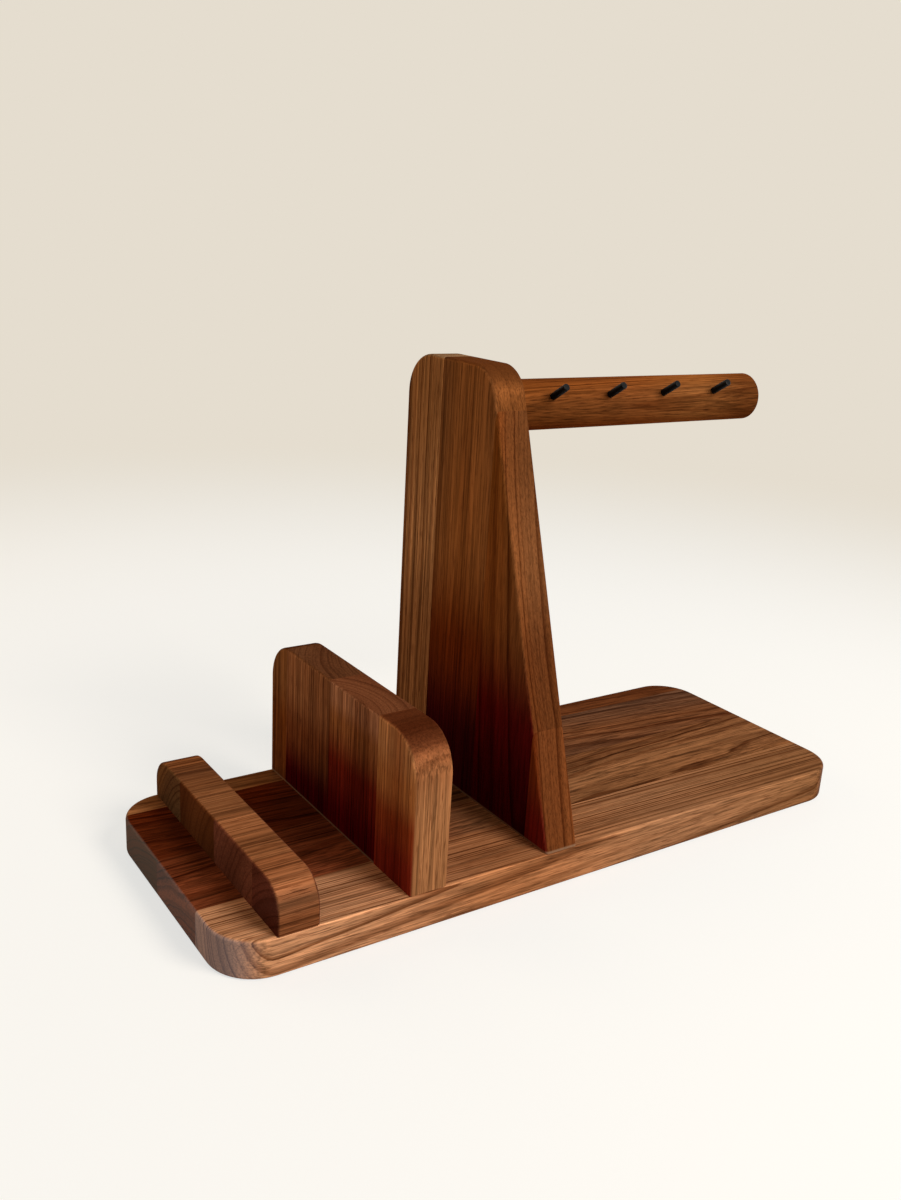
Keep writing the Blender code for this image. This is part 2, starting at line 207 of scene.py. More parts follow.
def newGroup(name, inputs, outputs):
    group = bpy.data.node_groups.new(name, "ShaderNodeTree")
    for label, kind, value in inputs:
        socket = group.interface.new_socket(label, in_out="INPUT", socket_type=kind)
        if value is not None:
            socket.default_value = value
    for label, kind in outputs:
        group.interface.new_socket(label, in_out="OUTPUT", socket_type=kind)
    return group, group.nodes.new("NodeGroupInput").outputs, group.nodes.new("NodeGroupOutput").inputs


# Walnut: growth rings first, then the oil finish over them

ringLook = {
    "drift": 4.0,  # how far the rings wander in slow waves, in millimetres
    "driftAcross": 0.035,
    "ripple": 0.9,  # and how far in quick ones
    "rippleStretch": (0.018, 0.16, 0.16),
    "unevenRate": 0.43,
    "unevenSpread": 3.0,  # how much the widths of the rings differ
    "faintestLine": 0.3,
    "lineRise": (0.45, 0.88),  # where in its ring a dark line comes up, and where it goes
    "lineFall": (0.91, 1.0),
    "fibreStretch": (0.012, 1.5, 0.9),
    "streakStretch": (0.004, 0.36, 0.06),
    "poreStretch": (0.10, 1.9, 1.9),
    "poreEdge": (0.56, 0.68),
}


def makeRingGroup():
    # Growth rings round a pith that runs along X, measured in millimetres.
    group, given, put = newGroup(
        "walnutRings",
        [
            ("Vector", "NodeSocketVector", None),
            ("Pith Distance", "NodeSocketFloat", 80.0),
            ("Ring Width", "NodeSocketFloat", 3.0),
            ("Wander", "NodeSocketFloat", 1.0),
            ("Wave Length", "NodeSocketFloat", 160.0),
            ("Seed", "NodeSocketFloat", 0.0),
        ],
        [
            ("Depth", "NodeSocketFloat"),
            ("Lines", "NodeSocketFloat"),
            ("Fibre", "NodeSocketFloat"),
            ("Streaks", "NodeSocketFloat"),
            ("Pores", "NodeSocketFloat"),
        ],
    )
    position = given["Vector"]
    axes = splitNode(group, position)
    radius = vectorNode(group, "LENGTH", joinNode(group, None, axes["Y"], axes["Z"]))

    # the rings wander slowly along the board, and a little faster across it
    waveRate = mathNode(group, "DIVIDE", 1.0, given["Wave Length"])
    stretch = joinNode(group, waveRate, ringLook["driftAcross"], ringLook["driftAcross"])
    slow = noiseNode(group, position, stretch, detail=1.5)
    quick = noiseNode(group, position, ringLook["rippleStretch"])
    slowShift = swingNode(group, slow, ringLook["drift"])
    quickShift = swingNode(group, quick, ringLook["ripple"])
    shift = mathNode(group, "MULTIPLY", mathNode(group, "ADD", slowShift, quickShift), given["Wander"])
    depth = mathNode(group, "ADD", mathNode(group, "SUBTRACT", radius, given["Pith Distance"]), shift)

    # no two rings have the same width or the same darkness
    count = mathNode(group, "ADD", mathNode(group, "DIVIDE", depth, given["Ring Width"]), given["Seed"])
    uneven = group.nodes.new("ShaderNodeTexNoise")
    uneven.noise_dimensions = "1D"
    uneven.inputs["Detail"].default_value = 1.0
    uneven.inputs["Scale"].default_value = ringLook["unevenRate"]
    setInput(group, uneven.inputs["W"], count)
    spread = swingNode(group, uneven.outputs["Fac"], ringLook["unevenSpread"])
    count = mathNode(group, "ADD", count, spread)
    whole = mathNode(group, "FLOOR", count)
    part = mathNode(group, "SUBTRACT", count, whole)
    chance = group.nodes.new("ShaderNodeTexWhiteNoise")
    chance.noise_dimensions = "1D"
    setInput(group, chance.inputs["W"], mathNode(group, "ADD", whole, 0.5))
    faintest = ringLook["faintestLine"]
    strength = mathNode(group, "MULTIPLY", chance.outputs["Value"], 1.0 - faintest)
    strength = mathNode(group, "ADD", strength, faintest)
    rise = rangeNode(group, part, *ringLook["lineRise"])
    fall = rangeNode(group, part, *ringLook["lineFall"], 1.0, 0.0)
    lines = mathNode(group, "MULTIPLY", mathNode(group, "MULTIPLY", rise, fall), strength)

    # fibres and streaks lie in the ring layers, so they are long along the grain and flat across it
    around = mathNode(group, "ARCTAN2", axes["Z"], axes["Y"])
    arc = mathNode(group, "MULTIPLY", around, given["Pith Distance"])
    layers = joinNode(group, axes["X"], depth, arc)
    fibre = noiseNode(group, layers, ringLook["fibreStretch"], detail=2.5, roughness=0.6)
    streaks = noiseNode(group, layers, ringLook["streakStretch"])
    poreNoise = noiseNode(group, position, ringLook["poreStretch"], detail=1.0)
    pores = rangeNode(group, poreNoise, *ringLook["poreEdge"])
    for label, value in (("Depth", depth), ("Lines", lines), ("Fibre", fibre), ("Streaks", streaks),
                         ("Pores", pores)):
        setInput(group, put[label], value)
    return group


# Four numbers turn a reading between the first two into a value between the last two.
oilLook = {
    "streakGain": (0.25, 0.75, 0.80, 1.20),
    "fibreGain": (0.34, 0.66, 0.45, 1.65),
    "endLines": (0.0, 1.0, 1.0, 0.85),  # end grain shows its lines and fibres less
    "endContrast": (0.0, 0.9, 1.0, 0.5),
    "endEdge": (0.20, 0.90),
    "poreStrength": 0.75,
    "poreTint": (0.40, 0.32, 0.30, 1.0),
    # edges go lighter from wear and from a painted highlight
    "edgeWearAndHighlight": (0.35, 0.7, 0.05, 0.35),
    "edgeWearAndHighlightTint": (1.35, 1.31, 1.27, 1.0),
    # the foot line is a painted highlight on squeezed-out glue
    "footHighlightColour": (0.32, 0.20, 0.12, 1.0),
    "footHighlightStrength": 0.55,
    "footHighlightSolid": 0.4,  # share of the foot line that doesn't fade
    # the left face's own colours are painted light and shade
    "faceLightAndShadeDepth": (0.0002, 0.0014),  # how far a left face's own colours reach into the board
    "roughness": (0.2, 0.8, 0.40, 0.52),
    "poreRoughness": 0.16,
    "endRoughness": 0.06,
    "fibreHeight": 0.5,
    "poreDip": 0.9,
    "lineDip": 0.25,
    "bump": (0.35, 0.00008),  # strength, and distance in metres
    "metallic": 0.20,
    "glossTint": (0.55, 0.30, 0.18, 1.0),
}


def makeFinishGroup():
    # Oil on walnut: ring lines, pores and end grain drink it and go darker, and worn edges go lighter,
    # with a painted highlight along them too.
    group, given, put = newGroup(
        "oiledWalnut",
        [
            ("Tone", "NodeSocketColor", (0.2, 0.1, 0.05, 1.0)),
            ("Line Tint", "NodeSocketColor", (0.30, 0.20, 0.13, 1.0)),
            ("End Tint", "NodeSocketColor", (0.62, 0.58, 0.58, 1.0)),
            ("End Sheen", "NodeSocketColor", (0.0, 0.0, 0.0, 1.0)),
            ("Lines", "NodeSocketFloat", 0.0),
            ("Line Strength", "NodeSocketFloat", 0.7),
            ("Grain Contrast", "NodeSocketFloat", 1.0),
            ("Foot Highlight", "NodeSocketFloat", 0.0),
            ("Fibre", "NodeSocketFloat", 0.5),
            ("Streaks", "NodeSocketFloat", 0.5),
            ("Pores", "NodeSocketFloat", 0.0),
            ("End Grain", "NodeSocketFloat", 0.0),
            ("Arris", "NodeSocketFloat", 0.0),
        ],
        [("Color", "NodeSocketColor"), ("Roughness", "NodeSocketFloat"), ("Height", "NodeSocketFloat")],
    )
    lines, fibre, streaks, pores = (given[label] for label in ("Lines", "Fibre", "Streaks", "Pores"))
    endGrain = given["End Grain"]
    lineMask = mathNode(group, "MULTIPLY", lines, given["Line Strength"])
    lineMask = mathNode(group, "MULTIPLY", lineMask, rangeNode(group, endGrain, *oilLook["endLines"]))
    colour = tintNode(group, lineMask, given["Tone"], given["Line Tint"])
    streakGain = rangeNode(group, streaks, *oilLook["streakGain"], smooth=False)
    fibreGain = rangeNode(group, fibre, *oilLook["fibreGain"], smooth=False)
    gain = mathNode(group, "MULTIPLY", streakGain, fibreGain)
    contrast = rangeNode(group, endGrain, *oilLook["endContrast"])
    contrast = mathNode(group, "MULTIPLY", contrast, given["Grain Contrast"])
    colour = vectorNode(group, "SCALE", colour, scale=mathNode(group, "POWER", gain, contrast))
    poreMask = mathNode(group, "MULTIPLY", contrast, oilLook["poreStrength"])
    colour = tintNode(group, mathNode(group, "MULTIPLY", pores, poreMask), colour, oilLook["poreTint"])
    endMask = rangeNode(group, endGrain, *oilLook["endEdge"])
    # end grain is darker, and the colour added to it is a painted sheen
    endColour = mixNode(group, 1.0, colour, given["End Tint"], "MULTIPLY")
    endColour = mixNode(group, 1.0, endColour, given["End Sheen"], "ADD")
    colour = mixNode(group, endMask, colour, endColour)
    # edges go lighter from wear and from a painted highlight along them
    wornAndHighlightedEdge = mathNode(group, "MULTIPLY", given["Arris"], rangeNode(group, streaks, *oilLook["edgeWearAndHighlight"]))
    colour = tintNode(group, wornAndHighlightedEdge, colour, oilLook["edgeWearAndHighlightTint"])
    # squeezed-out glue along the foot of a standing board, lightened as a painted highlight
    colour = mixNode(group, given["Foot Highlight"], colour, oilLook["footHighlightColour"])
    setInput(group, put["Color"], colour)

    roughness = rangeNode(group, fibre, *oilLook["roughness"], smooth=False)
    for mask, extra in ((pores, oilLook["poreRoughness"]), (endMask, oilLook["endRoughness"])):
        roughness = mathNode(group, "ADD", roughness, mathNode(group, "MULTIPLY", mask, extra))
    setInput(group, put["Roughness"], roughness)

    height = mathNode(group, "MULTIPLY", fibre, oilLook["fibreHeight"])
    for mask, dip in ((pores, oilLook["poreDip"]), (lines, oilLook["lineDip"])):
        height = mathNode(group, "SUBTRACT", height, mathNode(group, "MULTIPLY", mask, dip))
    setInput(group, put["Height"], height)
    return group


ringGroup = makeRingGroup()
finishGroup = makeFinishGroup()


# Each wooden piece's dictionary says how it was cut from its log. The pith lies at an angle in degrees
# and a distance in millimetres from the piece's middle, and lean turns the grain off the board's line.
# along has colours at places along the grain, in metres. The left face, which looks into a slot, has its
# own colours by height: painted shade that grows darker and redder towards its foot, and on some staves
# painted light higher up. bands says how rings differ from these colours, in millimetres from the middle
# towards the bark.
# The end tint darkens end grain, and where it lifts green and blue it greys the end faces as a painted
# sheen; the colour added to end faces is a painted sheen as well.

walnutBands = {
    "light": (1.40, 1.45, 1.50),
    "pale": (1.18, 1.22, 1.25),
    "warm": (1.20, 1.05, 0.85),
    "plain": (1.0, 1.0, 1.0),
    "grey": (0.90, 0.98, 1.10),
    "dull": (0.78, 0.74, 0.72),
    "deep": (0.62, 0.52, 0.48),
    "umber": (0.72, 0.46, 0.36),
}
ringSockets = {"Pith Distance": "pith", "Ring Width": "ringWidth", "Wander": "wander",
               "Wave Length": "waveLength", "Seed": "seed"}
finishSockets = {"Line Strength": "lineStrength", "Grain Contrast": "contrast",
                 "End Tint": "endTint", "End Sheen": "endSheen"}
seedStep = 371.0  # millimetres along the log from one seed to the next


def logMapping(tree, centre, grain, cut):
    # Turns the board's metres into the log's millimetres: X along the pith, the pith at the origin.
    turn = Matrix.Identity(3)
    if grain == "Z":
        turn = Matrix(((0, 0, 1), (0, 1, 0), (-1, 0, 0)))
    angle = math.radians(cut["angle"])
    pith = turn @ (centre * perMetre) - Vector((0, math.cos(angle), math.sin(angle))) * cut["pith"]
    lean = Vector((1, *cut.get("lean", (0, 0)))).rotation_difference(Vector((1, 0, 0))).to_matrix()
    place = tree.nodes.new("ShaderNodeMapping")
    place.vector_type = "POINT"
    place.inputs["Scale"].default_value = (perMetre,) * 3
    place.inputs["Rotation"].default_value = (lean @ turn).to_euler("XYZ")
    place.inputs["Location"].default_value = -(lean @ pith) + Vector((cut["seed"] * seedStep, 0, 0))
    return place


def groupNode(tree, group, sockets, cut):
    # what the cut doesn't say keeps the group's own value
    node = tree.nodes.new("ShaderNodeGroup")
    node.node_tree = group
    for label, key in sockets.items():
        if key in cut:
            value = cut[key]
            node.inputs[label].default_value = (*value, 1.0) if isinstance(value, tuple) else value
    return node


def colourRamp(tree, value, stops):
    return rampNode(tree, value, [(spot, shade(*colour)) for spot, colour in stops])


def walnutMaterial(name, box, grain, cut):
    low, high = box
    material, tree, shader = newMaterial(name)
    here = ownPlace(tree)
    place = logMapping(tree, (low + high) / 2, grain, cut)
    setInput(tree, place.inputs["Vector"], here)
    rings = groupNode(tree, ringGroup, ringSockets, cut)
    setInput(tree, rings.inputs["Vector"], place.outputs["Vector"])

    # the colours along the grain, and bands across it from the pith side to the bark side
    axes = splitNode(tree, here)
    colours = colourRamp(tree, axes[grain], cut["along"])
    if "faceLightAndShade" in cut:
        # the left face, which looks into a slot, has its own colours by height: painted shade towards
        # its foot, and on some staves painted light higher up
        face = colourRamp(tree, axes[grain], cut["faceLightAndShade"])
        start, end = (low.x + reach for reach in oilLook["faceLightAndShadeDepth"])
        colours = mixNode(tree, rangeNode(tree, axes["X"], start, end, 1.0, 0.0), colours, face)
    bands = [(depth, (*walnutBands[band], 1.0)) for depth, band in cut["bands"]]
    bands = rampNode(tree, rings.outputs["Depth"], bands)

    finish = groupNode(tree, finishGroup, finishSockets, cut)
    setInput(tree, finish.inputs["Tone"], mixNode(tree, 1.0, colours, bands, "MULTIPLY"))
    for label in ("Lines", "Fibre", "Streaks", "Pores"):
        setInput(tree, finish.inputs[label], rings.outputs[label])
    # the paler line at the foot is a painted highlight on squeezed-out glue
    if "footHighlight" in cut:
        start, end = baseTop + cut["footHighlight"] * oilLook["footHighlightSolid"], baseTop + cut["footHighlight"]
        foot = rangeNode(tree, axes["Z"], start, end, oilLook["footHighlightStrength"], 0.0)
        setInput(tree, finish.inputs["Foot Highlight"], foot)
    setInput(tree, finish.inputs["End Grain"], attributeNode(tree, "endGrain"))
    setInput(tree, finish.inputs["Arris"], attributeNode(tree, "arris"))
    setInput(tree, shader.inputs["Base Color"], finish.outputs["Color"])
    setInput(tree, shader.inputs["Roughness"], finish.outputs["Roughness"])
    addBump(tree, shader, finish.outputs["Height"], *oilLook["bump"])
    # the fibres throw back light of the wood's own colour, and the thin oil film adds little to it
    shader.inputs["Metallic"].default_value = oilLook["metallic"]
    shader.inputs["Specular IOR Level"].default_value = 0.0
    shader.inputs["Specular Tint"].default_value = oilLook["glossTint"]
    return material


# Board making

flatAxes = Matrix.Identity(4)  # outline in X and Y
standingAxes = Matrix(((0, 0, 1, 0), (1, 0, 0, 0), (0, 1, 0, 0), (0, 0, 0, 1)))  # outline in Y and Z
samePlace = 1e-6  # points closer than this are one
onCut = 1e-7  # points this close to a cut lie in it
sharpAngle = math.radians(38)
smoothAngle = math.radians(35)
trimSpare = 0.004  # how far a foot or the bar's root runs on before it is trimmed
easedFace, cutFace = 1, 2  # marks on faces


def roundEdges(shape, edges, width, segments, clamp):
    return bmesh.ops.bevel(shape, geom=edges, offset=width, offset_type="OFFSET", segments=segments,
                           profile=0.5, affect="EDGES", clamp_overlap=clamp, material=-1)


def startBoard(corners, low, high, axes, cornerSteps):
    # Corners (u, v, radius) run anticlockwise. The outline is extruded from low to high, then rounded.
    shape = bmesh.new()
    outline = [shape.verts.new((u, v, low)) for u, v, radius in corners]
    face = shape.faces.new(outline)
    grown = bmesh.ops.extrude_face_region(shape, geom=[face])
    raised = [item for item in grown["geom"] if isinstance(item, bmesh.types.BMVert)]
    bmesh.ops.translate(shape, verts=raised, vec=(0, 0, high - low))
    bmesh.ops.recalc_face_normals(shape, faces=shape.faces)
    for index, (u, v, radius) in enumerate(corners):
        if radius == 0:
            continue
        here = Vector((u, v))
        toLast = Vector(corners[index - 1][:2]) - here
        toNext = Vector(corners[(index + 1) % len(corners)][:2]) - here
        setback = radius / math.tan(toLast.angle(toNext) / 2)
        corner = [
            edge for edge in shape.edges
            if all((vert.co.xy - here).length < samePlace for vert in edge.verts)
        ]
        roundEdges(shape, corner, setback, cornerSteps, False)
    bmesh.ops.transform(shape, matrix=axes, verts=shape.verts)
    bmesh.ops.recalc_face_normals(shape, faces=shape.faces)
    return shape


def easeEdges(shape, width, segments=4):
    # Rounds every sharp edge, and marks the new faces so that the finish can tell them.
    easeLayer = shape.faces.layers.int.new("eased")
    sharp = [edge for edge in shape.edges if edge.is_manifold and edge.calc_face_angle() > sharpAngle]
    for face in roundEdges(shape, sharp, width, segments, True)["faces"]:
        face[easeLayer] = easedFace


def trim(shape, point, normal):
    # Cuts away what lies on the normal's side and closes the cut.
    bmesh.ops.bisect_plane(shape, geom=[*shape.verts, *shape.edges, *shape.faces], dist=onCut,
                           plane_co=point, plane_no=normal, clear_outer=True, clear_inner=False)
    closed = bmesh.ops.holes_fill(shape, edges=[edge for edge in shape.edges if edge.is_boundary])
    easeLayer = shape.faces.layers.int.get("eased")
    for face in closed["faces"]:
        face[easeLayer] = cutFace


def markGrain(shape, grain):
    # endGrain is 1 where a face looks along the grain, and arris is 1 along the middle of an eased edge.
    grainAxis = Vector((grain == "X", 0, grain == "Z"))
    endLayer = shape.verts.layers.float.new("endGrain")
    arrisLayer = shape.verts.layers.float.new("arris")
    easeLayer = shape.faces.layers.int.get("eased")
    shape.normal_update()
    for vert in shape.verts:
        faces = [face for face in vert.link_faces if face[easeLayer] != cutFace]
        normal = Vector((0, 0, 0))
        for face in faces:
            normal += face.normal * face.calc_area()
        if normal.length > 0:
            vert[endLayer] = abs(normal.normalized().dot(grainAxis))
        if faces and all(face[easeLayer] == easedFace for face in faces):
            vert[arrisLayer] = 1.0


def roundStick(radius, length, segments):
    shape = bmesh.new()
    bmesh.ops.create_cone(shape, cap_ends=True, segments=segments, radius1=radius, radius2=radius,
                          depth=length)
    return shape


def addToScene(name, data):
    thing = bpy.data.objects.new(name, data)
    bpy.context.scene.collection.objects.link(thing)
    return thing


def addShape(name, shape):
    mesh = bpy.data.meshes.new(name)
    shape.to_mesh(mesh)
    shape.free()
    return addToScene(name, mesh)


# Holes for the screws and dowels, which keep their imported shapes

holes = {
    "clearance": 0.0003,
    "headRim": 0.0004,
    "headHeight": 0.0026,
    "shankRadius": 0.002,
    "point": 0.005,
    "below": 0.001,  # how far under the base a drill starts
    "steps": 32,
}


def screwDrill(name):
    # a spun outline: wide at the countersunk head, narrow along the shank, pointed at the tip
    low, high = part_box(name)
    middle = (low + high) / 2
    gap = holes["clearance"]
    headRadius = (high.x - low.x) / 2 + gap
    shankRadius = holes["shankRadius"] + gap
    outline = [
        (0, -holes["below"]),
        (headRadius, -holes["below"]),
        (headRadius, low.z + holes["headRim"]),
        (shankRadius, low.z + holes["headHeight"]),
        (shankRadius, high.z - holes["point"] + gap),
        (0, high.z + gap),
    ]
    shape = bmesh.new()
    spots = [shape.verts.new((middle.x + radius, middle.y, height)) for radius, height in outline]
    edges = [shape.edges.new(pair) for pair in zip(spots, spots[1:])]
    bmesh.ops.spin(shape, geom=[*spots, *edges], cent=(middle.x, middle.y, 0), axis=(0, 0, 1),
                   angle=2 * math.pi, steps=holes["steps"], use_merge=True)
    bmesh.ops.remove_doubles(shape, verts=shape.verts, dist=samePlace)
    return shape


def dowelDrill(name):
    low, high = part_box(name)
    gap = holes["clearance"]
    shape = roundStick((high.y - low.y) / 2 + gap, high.x - low.x + 2 * gap, holes["steps"])
    place = Matrix.Translation((low + high) / 2) @ Matrix.Rotation(math.pi / 2, 4, "Y")
    bmesh.ops.transform(shape, matrix=place, verts=shape.verts)
    return shape


def makeDrills():
    drills = []
    for name in sorted(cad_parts):
        if "_screw_" in name or "_dowel_" in name:
            shape = screwDrill(name) if "_screw_" in name else dowelDrill(name)
            bmesh.ops.recalc_face_normals(shape, faces=shape.faces)
            drills.append(addShape("drill", shape))
    return drills


def meshBox(mesh):
    spots = [vert.co for vert in mesh.vertices]
    return [[pick(spot[axis] for spot in spots) for axis in range(3)] for pick in (min, max)]


def bore(piece):
    # cuts the drills that meet the piece out of it
    low, high = meshBox(piece.data)
    for drill in drills:
        drillLow, drillHigh = meshBox(drill.data)
        if all(drillLow[axis] < high[axis] and low[axis] < drillHigh[axis] for axis in range(3)):
            cut = piece.modifiers.new("Drill", "BOOLEAN")
            cut.operation = "DIFFERENCE"
            cut.solver = "EXACT"
            cut.object = drill
    if piece.modifiers:
        graph = bpy.context.evaluated_depsgraph_get()
        bored = bpy.data.meshes.new_from_object(piece.evaluated_get(graph))
        piece.modifiers.clear()
        piece.data = bored


drills = makeDrills()


def finishPiece(name, shape, material, node, drilled=True):
    piece = addShape(name, shape)
    piece.data.materials.append(material)
    piece.data.shade_smooth()
    piece.data.set_sharp_from_angle(angle=smoothAngle)
    if drilled:
        bore(piece)
    even = piece.modifiers.new("Even shading", "WEIGHTED_NORMAL")
    even.keep_sharp = True
    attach(piece, "root")
    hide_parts(node)


def makeStaves(board, shape, settings):
    # One board shape is copied for each stave and trimmed at the glue lines on both sides of it.
    edges = [None, *glueLines(board), None]
    staves = list(zip(nodesOf(board), settings["staves"], edges, edges[1:]))
    for number, (node, cut, front, back) in enumerate(staves, start=1):
        stave = shape.copy()
        if front is not None:
            trim(stave, (0, front, 0), (0, -1, 0))
        if back is not None:
            trim(stave, (0, back, 0), (0, 1, 0))
        if board != "base":
            trim(stave, (0, 0, baseTop), (0, 0, -1))
        bmesh.ops.recalc_face_normals(stave, faces=stave.faces)
        markGrain(stave, settings["grain"])
        material = walnutMaterial(f"{board}Walnut{number}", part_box(node), settings["grain"], cut)
        finishPiece(f"{board}Stave{number}", stave, material, node)
    shape.free()
    print(f"{board}: {len(staves)} staves")


def makeStandingBoard(board, settings):
    # a side view that may slant back in front, drawn across the base
    low, high = boxOf(*nodesOf(board))
    height, depth = high.z - baseTop, high.y - low.y
    slant = (depth - settings.get("topDepth", depth)) / height
    corners = [
        (low.y - slant * trimSpare, baseTop - trimSpare, 0),
        (high.y, baseTop - trimSpare, 0),
        (high.y, high.z, settings["backRadius"]),
        (low.y + slant * height, high.z, settings["frontRadius"]),
    ]
    shape = startBoard(corners, low.x, high.x, standingAxes, settings["cornerSteps"])
    easeEdges(shape, settings["easing"])
    makeStaves(board, shape, settings)


# Base board

base = {
    "grain": "X",
    "cornerRadius": 0.024,
    "cornerSteps": 14,
    "easing": 0.0018,
    "staves": [
        {
            "slot": "walnut_striped", "seed": 1.0, "angle": -14, "pith": 95, "lean": (-0.026, 0.0),
            "ringWidth": 3.1, "wander": 0.4, "waveLength": 220, "lineStrength": 1.1, "contrast": 0.75,
            "along": ((-0.15, (187, 131, 92)), (-0.05, (162, 104, 65)), (0.06, (158, 109, 74)),
                      (0.17, (135, 91, 58))),
            "bands": ((-24, "pale"), (-17, "pale"), (-10, "plain"), (-2, "plain"), (6, "pale"),
                      (14, "plain"), (19, "light")),
            "endTint": (0.7, 0.8, 1.0), "endSheen": (0.05, 0.09, 0.14),
        },
        {
            "slot": "walnut_plain", "seed": 2.0, "angle": 66, "pith": 60, "lean": (0.0, 0.02),
            "ringWidth": 3.6, "wander": 1.9, "waveLength": 120, "lineStrength": 0.9, "contrast": 0.98,
            "along": ((-0.1, (114, 57, 32)), (-0.02, (130, 86, 54))),
            "bands": ((-14, "deep"), (-5, "warm"), (2, "plain"), (8, "light"), (16, "dull")),
            "endTint": (0.85, 1.0, 1.2), "endSheen": (0.05, 0.075, 0.085),
        },
        {
            "slot": "walnut_red", "seed": 3.0, "angle": 62, "pith": 80, "lean": (-0.05, -0.025),
            "ringWidth": 3.2, "wander": 1.1, "waveLength": 140, "lineStrength": 0.9, "contrast": 0.92,
            "along": ((-0.1, (86, 36, 15)), (-0.02, (110, 73, 50))),
            "bands": ((-14, "dull"), (2, "plain"), (12, "warm"), (20, "plain"), (28, "grey")),
            "endTint": (0.95, 1.1, 1.3), "endSheen": (0.06, 0.082, 0.08),
        },
        {
            "slot": "walnut_light", "seed": 4.0, "angle": 62, "pith": 80, "lean": (-0.03, -0.02),
            "ringWidth": 3.4, "wander": 1.0, "waveLength": 150, "lineStrength": 0.6, "contrast": 0.8,
            "along": ((-0.14, (130, 82, 48)), (-0.03, (108, 62, 34))),
            "bands": ((-12, "plain"), (0, "light"), (8, "plain"), (18, "dull")),
            "endTint": (0.9, 1.0, 1.2), "endSheen": (0.05, 0.075, 0.07),
        },
    ],
}


def makeBase():
    radius = base["cornerRadius"]
    corners = [
        (baseLow.x, baseLow.y, radius),
        (baseHigh.x, baseLow.y, radius),
        (baseHigh.x, baseHigh.y, radius),
        (baseLow.x, baseHigh.y, radius),
    ]
    shape = startBoard(corners, baseLow.z, baseHigh.z, flatAxes, base["cornerSteps"])
    easeEdges(shape, base["easing"])
    makeStaves("base", shape, base)


# Low rail, cut across a panel, so its long faces show end grain

rail = {
    "grain": "X",
    "backRadius": 0.015,
    "frontRadius": 0.015,
    "cornerSteps": 12,
    "easing": 0.0016,
    "staves": [
        {
            "slot": "walnut_striped", "seed": 5.0, "angle": 55, "pith": 70,
            "ringWidth": 3.6, "wander": 0.4, "lineStrength": 0.6, "contrast": 0.84,
            "along": ((-0.16, (137, 83, 50)),),
            "bands": ((-12, "dull"), (-4, "grey"), (6, "light"), (12, "plain")),
            "endTint": (0.41, 0.32, 0.5),
        },
        {
            "slot": "walnut_plain", "seed": 6.0, "angle": 30, "pith": 90,
            "ringWidth": 4.2, "wander": 0.5, "lineStrength": 0.6, "contrast": 0.84,
            "along": ((-0.16, (135, 84, 51)),),
            "bands": ((-22, "light"), (0, "plain"), (20, "light")),
            "endTint": (0.55, 0.46, 0.67),
        },
        {
            "slot": "walnut_red", "seed": 7.0, "angle": 24, "pith": 90,
            "ringWidth": 5.0, "wander": 0.5, "lineStrength": 0.55, "contrast": 0.78,
            "along": ((-0.16, (120, 75, 45)),),
            "bands": ((-22, "plain"), (0, "light"), (20, "plain")),
            "endTint": (0.51, 0.41, 0.35),
        },
        {
            "slot": "walnut_light", "seed": 8.0, "angle": 40, "pith": 60,
            "ringWidth": 3.4, "wander": 0.5, "lineStrength": 0.9, "contrast": 0.96,
            "along": ((-0.16, (116, 74, 46)),),
            "bands": ((-14, "plain"), (0, "dull"), (12, "warm")),
            "endTint": (0.8, 1.0, 1.1),
        },
    ],
}


# Middle divider

